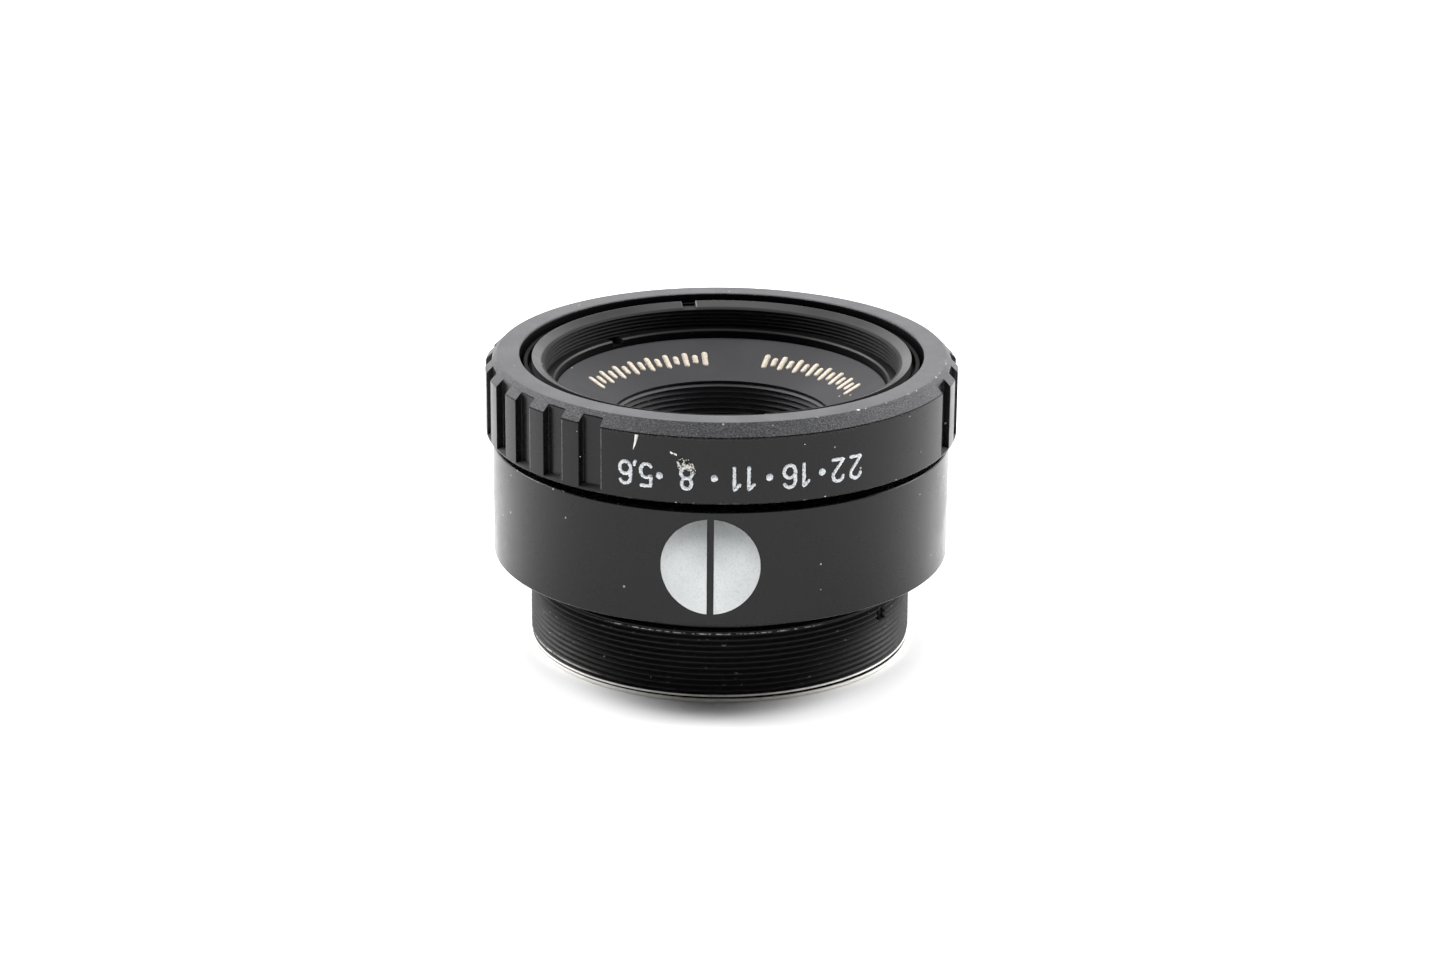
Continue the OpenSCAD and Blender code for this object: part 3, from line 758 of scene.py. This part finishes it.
# ---------------------------------------------------------------- glass
def arc(vertex, radius, r_from, r_to, steps=14):
    """Points of a spherical surface that is highest at (0, vertex), between two radii."""
    out = []
    for i in range(steps + 1):
        r = r_from + (r_to - r_from) * i / steps
        out.append((r, vertex - (radius - math.sqrt(radius * radius - r * r))))
    return out


def lens(name, surfaces, nodes, flip, mat):
    """A lens turned round the axis.

    surfaces is its half outline from axis to axis, as heights from the iris plane.
    """
    pts = [(r, (STOP_Z - h) if flip else (STOP_Z + h)) for r, h in surfaces]
    bm = bmesh.new()
    n = 160
    grid = columns_of_verts(bm, [pts[1:-1]] * n, even(n))
    ends = [bm.verts.new((0, 0, pts[0][1])), bm.verts.new((0, 0, pts[-1][1]))]
    for i in range(n):
        p, q = grid[i], grid[(i + 1) % n]
        for j in range(len(p) - 1):
            bm.faces.new((p[j], q[j], q[j + 1], p[j + 1]))
        bm.faces.new((ends[0], q[0], p[0]))
        bm.faces.new((ends[1], p[-1], q[-1]))
    obj = new_object(name, bm, mat, "barrel")
    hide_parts(*nodes)


def glasses():
    rim = 8.8
    outer = arc(7.7, 32, 0, rim)
    pair = outer + [(rim - 0.02, outer[-1][1] - 0.05), (rim - 0.02, 3.95), (rim - 0.3, 3.93)] + \
        arc(4.9, 32, rim, 0)[1:]
    outer = arc(4.6, 17, 0, 8.0)
    single = outer + [(7.99, outer[-1][1] - 0.05), (7.99, 1.97), (7.7, 1.955)] + \
        arc(3.2, 22, 8.0, 0)[1:]
    lens("front_glass_pair", pair, ("front_crown_lens", "front_flint_lens"), False,
         MAT["front_glass"])
    lens("front_glass_single", single, ("front_inner_lens",), False, MAT["front_glass"])
    lens("rear_glass_single", single, ("rear_inner_lens",), True, MAT["rear_glass"])
    lens("rear_glass_pair", pair, ("rear_crown_lens", "rear_flint_lens"), True, MAT["rear_glass"])


# ---------------------------------------------------------------- print and marks
def resample(points, step, closed):
    """Points at an even spacing along a line."""
    pts = [Vector(p) for p in points]
    if closed:
        pts.append(pts[0].copy())
    lengths = [0.0]
    for a, b in zip(pts, pts[1:]):
        lengths.append(lengths[-1] + (b - a).length)
    total = lengths[-1]
    count = max(3, round(total / step))
    out, j = [], 0
    for i in range(count if closed else count + 1):
        t = total * i / count
        while j < len(lengths) - 2 and lengths[j + 1] < t:
            j += 1
        seg = lengths[j + 1] - lengths[j]
        f = (t - lengths[j]) / seg if seg else 0
        out.append(pts[j].lerp(pts[j + 1], f))
    return out


def ellipse(cx, cy, rx, ry, a0, a1, steps=24):
    return [(cx + rx * math.cos(math.radians(a0 + (a1 - a0) * i / steps)),
             cy + ry * math.sin(math.radians(a0 + (a1 - a0) * i / steps)))
            for i in range(steps + 1)]


class Print:
    """Flat marks laid on a turned surface: place(x, y, lift) gives the point in space."""

    def __init__(self, place, ragged):
        self.bm = bmesh.new()
        self.place = place
        self.ragged = ragged

    def wobble(self, x, y):
        return self.ragged * mnoise.noise(Vector((x * 9, y * 9, 3.1)))

    def solid(self, loops, quads, lift):
        """loops: the outlines; quads: faces as indices into all points."""
        pts = [p for loop in loops for p in loop]
        top = [self.bm.verts.new(self.place(p[0], p[1], lift)) for p in pts]
        low = [self.bm.verts.new(self.place(p[0], p[1], -0.03)) for p in pts]
        for q in quads:
            self.bm.faces.new([top[i] for i in q])
            self.bm.faces.new([low[i] for i in reversed(q)])
        start = 0
        for loop in loops:
            n = len(loop)
            for i in range(n):
                a, b = start + i, start + (i + 1) % n
                self.bm.faces.new((top[a], top[b], low[b], low[a]))
            start += n

    def stroke(self, points, width, closed=False, at=(0, 0), lift=0.0):
        line = resample([(p[0] + at[0], p[1] + at[1]) for p in points], 0.07, closed)
        n = len(line)
        left, right = [], []
        for i in range(n):
            a = line[(i - 1) % n if closed else max(i - 1, 0)]
            b = line[(i + 1) % n if closed else min(i + 1, n - 1)]
            t = (b - a).normalized()
            normal = Vector((-t.y, t.x))
            for side, sign in ((left, 1), (right, -1)):
                p = line[i] + normal * sign * width / 2
                p += normal * sign * self.wobble(p.x + at[0], p.y)
                side.append((p.x, p.y))
        if closed:
            quads = [(i, (i + 1) % n, n + (i + 1) % n, n + i) for i in range(n)]
            self.solid([left, right], quads, lift)
            return
        # round ends
        caps = []
        for end, prev in ((n - 1, n - 2), (0, 1)):
            t = (line[end] - line[prev]).normalized()
            normal = Vector((-t.y, t.x))
            cap = []
            for k in range(1, 6):
                b = math.radians(90 - 30 * k)
                p = line[end] + (t * math.cos(b) + normal * math.sin(b)) * width / 2
                cap.append((p.x, p.y))
            caps.append(cap)
        loop = left + caps[0] + right[::-1] + caps[1]
        m = len(loop)
        quads = [(i, i + 1, m - 7 - i, m - 6 - i) for i in range(n - 1)]
        quads.append(tuple(range(n - 1, n + 6)))
        quads.append(tuple([m - 6] + list(range(m - 5, m)) + [0]))
        self.solid([loop], quads, lift)

    def blob(self, x, y, r, sides=22, squash=1.0, lift=0.0, rough=0.0):
        loop = []
        for i in range(sides):
            a = 2 * math.pi * i / sides
            k = r + (rough * random.uniform(-1, 1) if rough else 0)
            p = (x + k * math.cos(a), y + squash * k * math.sin(a))
            w = self.wobble(*p)
            loop.append((p[0] + w * math.cos(a), p[1] + w * math.sin(a)))
        self.solid([loop], [tuple(range(sides))], lift)

    def shape(self, loop, lift=0.0):
        self.solid([loop], [tuple(range(len(loop)))], lift)


def on_cylinder(radius, centre_angle, centre_z, upside_down=False):
    turn = -1 if upside_down else 1

    def place(x, y, lift):
        return polar(radius + lift, centre_angle + math.degrees(turn * x / radius),
                     centre_z + turn * y)
    return place


STROKE = 0.28


def digit(p, n, x, lift):
    """One numeral of the aperture scale, 2.15 mm high, drawn as strokes."""
    at = (x, 0)
    if n == "2":
        arc_top = ellipse(0, 0.46, 0.47, 0.465, 172, -38)
        p.stroke(arc_top + [(-0.20, -0.52), (-0.47, -0.90), (-0.40, -0.925), (0.49, -0.925)],
                 STROKE, at=at, lift=lift)
    elif n == "5":
        p.stroke([(0.43, 0.925), (-0.30, 0.925), (-0.36, 0.90), (-0.40, 0.10), (-0.34, 0.08)] +
                 ellipse(0, -0.35, 0.49, 0.575, 118, -140), STROKE, at=at, lift=lift)
    elif n == "6":
        p.stroke(ellipse(0, -0.40, 0.475, 0.525, 0, 345, 23), STROKE, True, at=at, lift=lift)
        p.stroke([(0.42, 0.66)] + ellipse(0.0, 0.46, 0.46, 0.465, 35, 180) + [(-0.475, -0.36)],
                 STROKE, at=at, lift=lift - 0.002)
    elif n == "8":
        p.stroke(ellipse(0, 0.47, 0.40, 0.455, 0, 345, 23), STROKE, True, at=at, lift=lift)
        p.stroke(ellipse(0, -0.44, 0.475, 0.485, 0, 345, 23), STROKE, True, at=at,
                 lift=lift - 0.002)
    elif n == "1":
        p.stroke([(-0.40, 0.52), (-0.08, 0.86), (0.0, 0.92), (0.02, 0.85), (0.02, -0.92)],
                 STROKE, at=at, lift=lift)
    elif n == ",":
        p.stroke([(0.03, -0.72), (0.03, -0.88), (-0.07, -1.04)], 0.24, at=at, lift=lift)


SCALE_Z, DOT_Z = 20.925, 20.97
FIRST_DOT = 0.85
LIFT = 0.004               # how far the print stands off the metal


def aperture_scale():
    """Stops and half stops; the text is read with the lens's front down."""
    joined = bmesh.new()
    stops = [("5,6", -17.6, (-0.90, 0.10, 0.92)), ("8", -5.5, (0,)), ("11", 7.2, (-0.58, 0.58)),
             ("16", 20.1, (-0.62, 0.60)), ("22", 32.9, (-0.83, 0.83))]
    for text, angle, xs in stops:
        p = Print(on_cylinder(RING_R, angle, SCALE_Z, True), 0.065)
        for c, x in zip(text, xs):
            digit(p, c, x, LIFT)
        add_to(joined, p.bm)
    for k in (-2, 0, 2, 4):
        p = Print(on_cylinder(RING_R, FIRST_DOT + k * CLICK_STEP, DOT_Z), 0.05)
        p.blob(0, 0, 0.30, lift=LIFT, rough=0.025)
        add_to(joined, p.bm)
    new_object("scale_numbers", joined, MAT["white"], "ring")


def index_disc():
    """The index: a disc parted by a straight slit."""
    r, slit = 4.08, 0.283
    p = Print(on_cylinder(BARREL_R, 0, 13.14), 0.02)
    for side in (-1, 1):
        cols = 44
        start, end = math.asin(slit / r), math.asin(1 - 0.01 / r)
        loop_low, loop_high, xs = [], [], []
        for i in range(cols + 1):
            b = start + (end - start) * i / cols
            x = r * math.sin(b)
            h = math.sqrt(r * r - x * x)
            w = 0.25 * p.wobble(x, h)
            xs.append(x)
            loop_low.append((side * x, -h - w))
            loop_high.append((side * x, h + w))
        n = cols + 1
        quads = [(i, i + 1, 2 * n - 2 - i, 2 * n - 1 - i) for i in range(cols)]
        p.solid([loop_low + loop_high[::-1]], quads, LIFT)
    new_object("index_disc", p.bm, MAT["disc"], "barrel")


def name_ring_marks():
    """Plain ticks on the name ring where a maker would engrave words."""
    (in_r, in_z), (out_r, out_z) = DISH_IN, DISH_OUT
    slope = (out_z - in_z) / (out_r - in_r)
    tilt = math.atan(slope)
    row_r, count = 11.72, 15

    def place_at(angle):
        def place(x, y, lift):
            r = row_r + y * math.cos(tilt) - lift * math.sin(tilt)
            z = in_z + (row_r - in_r) * slope + y * math.sin(tilt) + lift * math.cos(tilt)
            return polar(r, angle + math.degrees(x / row_r), z)
        return place

    joined = bmesh.new()
    for start, end in ((-111.5, -170.5), (163.0, 109.5)):
        for i in range(count):
            p = Print(place_at(start + (end - start) * i / (count - 1)), 0.04)
            half = 0.30 if i % 2 else 0.62
            p.stroke([(0, -half), (0, half)], 0.50, lift=0.006)
            add_to(joined, p.bm)
    new_object("name_ring_ticks", joined, MAT["cream"], "barrel")


def wear():
    """Chips and scratches in the finish, a painted shade line under the chamfer, and painted
    highlights on the flute edges.
    """
    p = Print(on_cylinder(RING_R, 0, 0), 0.0)
    k = RING_R * math.pi / 180
    p.shape([(-17.85 * k, 24.22), (-17.95 * k, 23.75), (-18.3 * k, 22.9), (-17.75 * k, 23.3),
             (-17.25 * k, 23.85), (-16.95 * k, 24.22)], LIFT)
    p.shape([(-9.5 * k, 23.02), (-9.1 * k, 22.88), (-8.6 * k, 22.9), (-7.9 * k, 22.74),
             (-7.75 * k, 22.86), (-8.1 * k, 22.97), (-8.8 * k, 23.0), (-9.2 * k, 23.1)], LIFT)
    for a, z, r in ((18.0, 19.95, 0.06), (27.2, 18.86, 0.07), (-8.0, 18.8, 0.05),
                    (21.9, 23.5, 0.05), (-3.9, 18.8, 0.035), (-33.2, 23.6, 0.05),
                    (-32.3, 21.5, 0.04), (48.0, 18.85, 0.05)):
        p.blob(a * k, z, r, 9, squash=0.6, lift=LIFT, rough=0.02)
    for path, count in (([(-4.9, 22.12), (-4.1, 22.1), (-3.85, 21.8), (-3.5, 21.55)], 34),
                        ([(-7.8, 22.36), (-7.4, 22.1), (-6.9, 21.75)], 24)):
        crumbs(p, [(a * k, z) for a, z in path], 0.03, count, 0.02, 0.05, LIFT + 0.0015)
    new_object("ring_chips", p.bm, MAT["chip"], "ring")

    # dark grime flakes, then the painted shade line, in one object
    g = Print(on_cylinder(RING_R, 0, 0), 0.0)
    crumbs(g, [(-7.6 * k, 22.5), (-6.5 * k, 22.1), (-5.2 * k, 22.2), (-4.3 * k, 21.9),
               (-3.7 * k, 21.3)], 0.12, 60, 0.04, 0.11, LIFT - 0.001)
    # painted shade: a dark, ragged line where the chamfer meets the band, standing in for the dark
    # reflection along that edge
    g.ragged = 0.14
    g.stroke([(a * k, CHAMFER_Z - 0.14) for a in range(-25, 56, 3)], 0.15, lift=LIFT - 0.002)
    new_object("ring_gouge", g.bm, MAT["gouge_and_painted_shade"], "ring")

    # painted highlight: a light line down one edge of each flute, standing in for the light that
    # its rounded edge catches
    e = Print(on_cylinder(RING_R, 0, 0), 0.012)
    for i in range(FLUTES):
        x = (FIRST_FLUTE - i * FLUTE_STEP + 3.30) * k
        e.stroke([(x, LIP_Z + 0.05), (x, CHAMFER_Z - 0.10)], 0.05, lift=LIFT - 0.002)
    new_object("flute_edge_highlights", e.bm, MAT["flute_edge_highlight"], "ring")

    s = Print(on_cylinder(RING_R, 0, 0), 0.0)
    for path, count in (([(-7.7, 22.3), (-7.2, 21.9), (-6.5, 21.55)], 34),
                        ([(-6.4, 22.15), (-5.2, 21.9), (-4.0, 21.85)], 44),
                        ([(-5.9, 21.7), (-4.6, 21.6), (-3.7, 21.3)], 26),
                        ([(-7.0, 22.4), (-5.2, 22.4)], 12)):
        crumbs(s, [(a * k, z) for a, z in path], 0.07, count, 0.025, 0.065, LIFT + 0.001)
    new_object("ring_scuff", s.bm, MAT["scuff"], "ring")


def crumbs(p, path, spread, count, low_r, high_r, lift):
    """Small ragged flakes scattered along a path."""
    line = resample(path, 0.02, False)
    for _ in range(count):
        c = random.choice(line)
        p.blob(c.x + random.gauss(0, spread), c.y + random.gauss(0, spread),
               random.uniform(low_r, high_r), 8, squash=random.uniform(0.45, 1.0), lift=lift,
               rough=0.3 * low_r)


# ---------------------------------------------------------------- build
aperture_ring()
barrel()
front_tube()
name_ring()
front_retainer()
front_cell()
rear_cell()
lens_rings()
ring_nut()
glasses()
aperture_scale()
index_disc()
name_ring_marks()
wear()

CARRIED = {
    "wave_washer": "steel", "iris_base": "inside", "iris_cover": "inside", "cell_shim": "brass",
    "front_spacer": "inside", "rear_spacer": "inside", "grub_screw": "pit",
    "click_spring": "steel", "click_ball": "steel", "drive_pin": "steel", "cam_ring": "brass",
}
for i in range(1, 6):
    CARRIED[f"iris_blade_{i}"] = "blade"
for node, mat in CARRIED.items():
    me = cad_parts[node].data
    me.materials.clear()
    me.materials.append(MAT[mat])

# ---------------------------------------------------------------- stage
floor_mesh = bpy.data.meshes.new("floor")
HALF_FLOOR = 3.0           # metres
floor_mesh.from_pydata([(x * HALF_FLOOR, y * HALF_FLOOR, 0)
                        for x, y in ((-1, -1), (1, -1), (1, 1), (-1, 1))], [], [(0, 1, 2, 3)])
floor = bpy.data.objects.new("floor", floor_mesh)
floor.location.z = -0.00002
bpy.context.scene.collection.objects.link(floor)
fm, fnt, fb = material("floor")
floor_nodes = Nodes(fnt)
soft = floor_nodes.noise(floor_nodes.object, 30.0, 2.0, 0.5)
fnt.links.new(floor_nodes.mix(soft, rgb(0.92, 0.92, 0.92), rgb(0.94, 0.94, 0.94)),
              fb.inputs["Base Color"])
fb.inputs["Roughness"].default_value = 0.9
fb.inputs["Specular IOR Level"].default_value = 0.2
floor_mesh.materials.append(fm)

world = bpy.data.worlds.new("studio")
bpy.context.scene.world = world
world.use_nodes = True
wnt = world.node_tree
wnt.nodes.clear()
wout = wnt.nodes.new("ShaderNodeOutputWorld")
w = Nodes(wnt)
direction = wnt.nodes.new("ShaderNodeTexCoord").outputs["Generated"]
dx, dy, dz = w.split(direction)
side = w.math("ABSOLUTE", dx)
# a soft light overhead, from straight up to well behind the object
overhead = w.math("MULTIPLY", w.step(dz, 0.82, 0.92), w.step(dy, -0.20, -0.04, 0.0, 4.9))
# a softbox on each side, a little behind it
boxes = w.math("MULTIPLY", w.step(side, 0.42, 0.60),
               w.math("MULTIPLY", w.step(dy, 0.04, 0.20), w.step(dy, 0.52, 0.72, 1.0, 0.0)))
boxes = w.math("MULTIPLY", w.math("MULTIPLY", boxes, w.step(dz, 0.34, 0.58)),
               w.step(dx, -0.3, 0.3, 15.2, 13.2))
# a low light behind the object, and a dark room in front
behind = w.math("MULTIPLY", w.math("MULTIPLY", w.step(dy, 0.10, 0.55), w.step(dz, 0.0, 0.12)),
                w.step(dz, 0.50, 0.72, 2.2, 0.0))
front = w.math("MULTIPLY", w.step(dy, -0.45, -0.10, 1.0, 0.0), w.step(dz, 0.7, 0.86, 1.0, 0.0))
light = w.math("ADD", w.math("ADD", overhead, boxes), behind)
light = w.math("ADD", light, w.math("SUBTRACT", 0.15, w.math("MULTIPLY", front, 0.13)))
grey = wnt.nodes.new("ShaderNodeBackground")
grey.inputs["Color"].default_value = rgb(1, 1, 1)
wnt.links.new(light, grey.inputs["Strength"])
plain = wnt.nodes.new("ShaderNodeBackground")
plain.inputs["Color"].default_value = rgb(1, 1, 1)
plain.inputs["Strength"].default_value = 1.1
pick = wnt.nodes.new("ShaderNodeMixShader")
wnt.links.new(wnt.nodes.new("ShaderNodeLightPath").outputs["Is Camera Ray"], pick.inputs[0])
wnt.links.new(grey.outputs[0], pick.inputs[1])
wnt.links.new(plain.outputs[0], pick.inputs[2])
wnt.links.new(pick.outputs[0], wout.inputs["Surface"])

# ---------------------------------------------------------------- camera
AZIMUTH, ELEVATION, ROLL = 2.3, 19.45, 0.457
CAMERA_AT = (0.01226, -0.30142, 0.12023)    # metres
cam_data = bpy.data.cameras.new("camera")
cam_data.lens = 93.17
cam_data.sensor_width = 36.0
cam_data.clip_start = 0.01
cam_data.clip_end = 20.0
camera = bpy.data.objects.new("camera", cam_data)
bpy.context.scene.collection.objects.link(camera)
turn = Matrix.Rotation(math.radians(AZIMUTH), 3, "Z")
e = math.radians(ELEVATION)
forward = turn @ Vector((0, math.cos(e), -math.sin(e)))
level_right = turn @ Vector((1, 0, 0))
level_up = turn @ Vector((0, math.sin(e), math.cos(e)))
roll = math.radians(ROLL)
right = level_right * math.cos(roll) + level_up * math.sin(roll)
up = level_up * math.cos(roll) - level_right * math.sin(roll)
facing = Matrix((right, up, -forward)).transposed().to_4x4()
camera.matrix_world = Matrix.Translation(CAMERA_AT) @ facing
bpy.context.scene.camera = camera
bpy.context.scene.view_settings.view_transform = "Standard"
